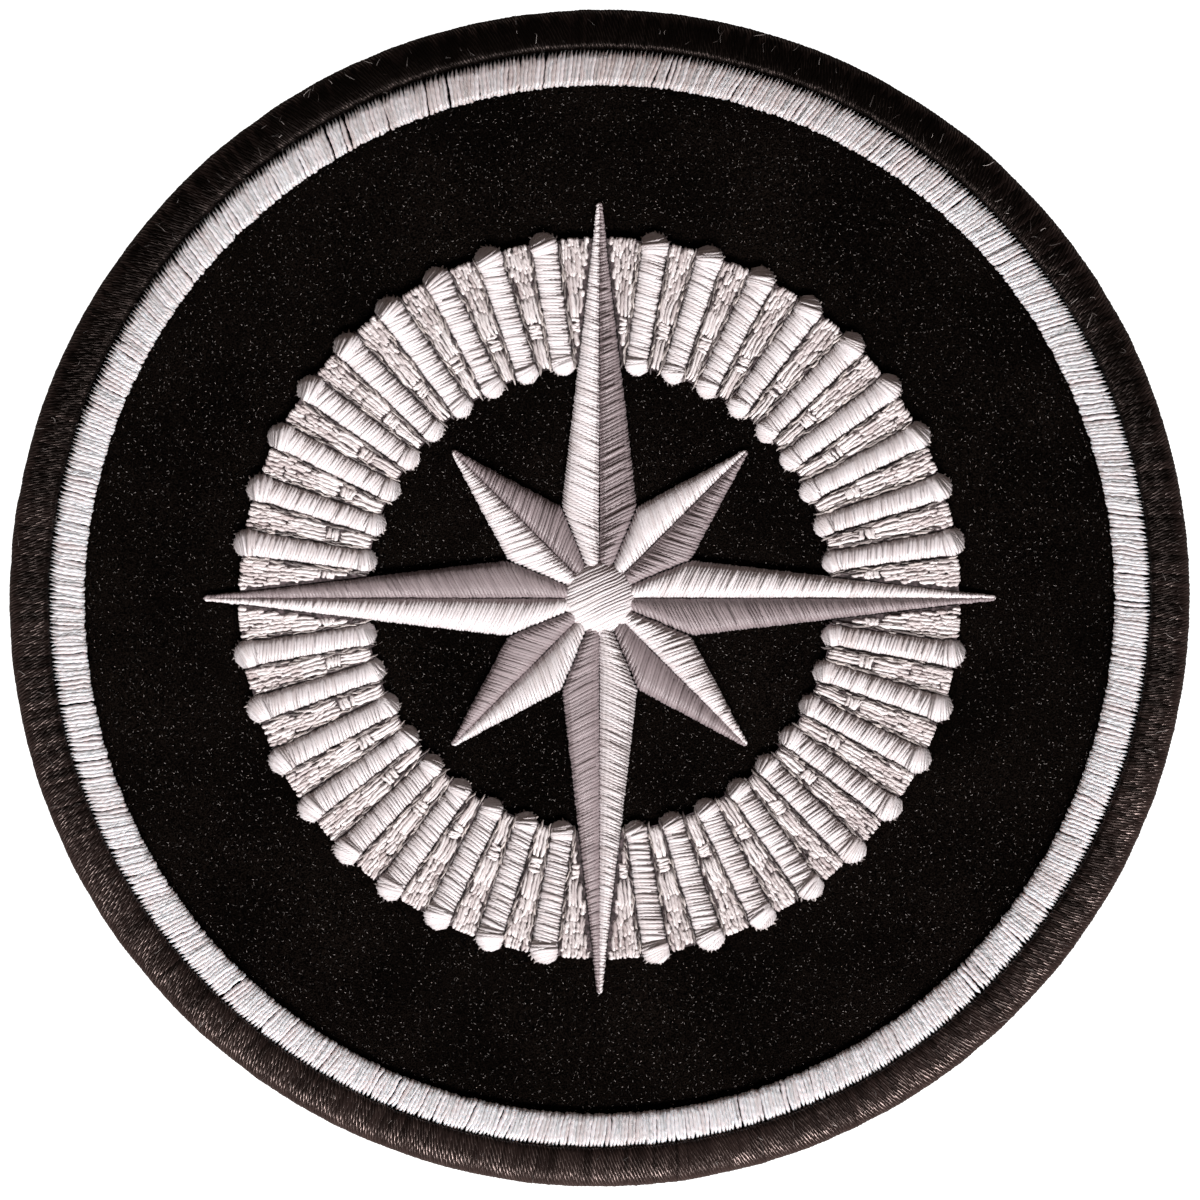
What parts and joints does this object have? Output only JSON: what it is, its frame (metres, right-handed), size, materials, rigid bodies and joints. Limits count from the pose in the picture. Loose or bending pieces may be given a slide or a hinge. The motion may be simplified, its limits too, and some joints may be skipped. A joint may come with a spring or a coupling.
{
  "type": "embroidered clothing patch",
  "caption": "Round embroidered patch of black velvet with a thick black border, a raised white ring, and a compass rose inside a band of raised radial ribs, to iron or sew on clothing.",
  "frame": {"origin": "centre of the patch, on its flat back", "axes": "+Z out of the face towards the viewer, +X to the right and +Y up as the picture shows it"},
  "size_m": [0.1, 0.1, 0.0026],
  "materials": {
    "velvet": "black velvet pile on a stiff woven backing",
    "thread_black": "brown-black rayon thread in dense satin stitches",
    "thread_white": "glossy silvery white rayon thread in satin stitches",
    "thread_grey": "light grey rayon thread in rows of short stitches",
    "thread_lilac": "lilac-grey rayon thread in satin stitches"
  },
  "bodies": {
    "root": {"border": "thread_black", "fill_ne": "thread_grey", "fill_nw": "thread_grey", "fill_se": "thread_grey", "fill_sw": "thread_grey", "ground": "velvet", "hub": "thread_white", "ray_e_dark": "thread_lilac", "ray_e_light": "thread_white", "ray_n_dark": "thread_lilac", "ray_n_light": "thread_white", "ray_ne_dark": "thread_lilac", "ray_ne_light": "thread_white", "ray_nw_dark": "thread_lilac", "ray_nw_light": "thread_white", "ray_s_dark": "thread_lilac", "ray_s_light": "thread_white", "ray_se_dark": "thread_lilac", "ray_se_light": "thread_white", "ray_sw_dark": "thread_lilac", "ray_sw_light": "thread_white", "ray_w_dark": "thread_lilac", "ray_w_light": "thread_white", "rib_01": "thread_white", "rib_02": "thread_white", "rib_03": "thread_white", "rib_04": "thread_white", "rib_05": "thread_white", "rib_06": "thread_white", "rib_07": "thread_white", "rib_08": "thread_white", "rib_09": "thread_white", "rib_10": "thread_white", "rib_11": "thread_white", "rib_12": "thread_white", "rib_13": "thread_white", "rib_14": "thread_white", "rib_15": "thread_white", "rib_16": "thread_white", "rib_17": "thread_white", "rib_18": "thread_white", "rib_19": "thread_white", "rib_20": "thread_white", "rib_21": "thread_white", "rib_22": "thread_white", "rib_23": "thread_white", "rib_24": "thread_white", "rib_25": "thread_white", "rib_26": "thread_white", "rib_27": "thread_white", "rib_28": "thread_white", "rib_29": "thread_white", "rib_30": "thread_white", "rib_31": "thread_white", "rib_32": "thread_white", "rib_33": "thread_white", "rib_34": "thread_white", "rib_35": "thread_white", "rib_36": "thread_white", "ring": "thread_white"}
  },
  "joints": []
}
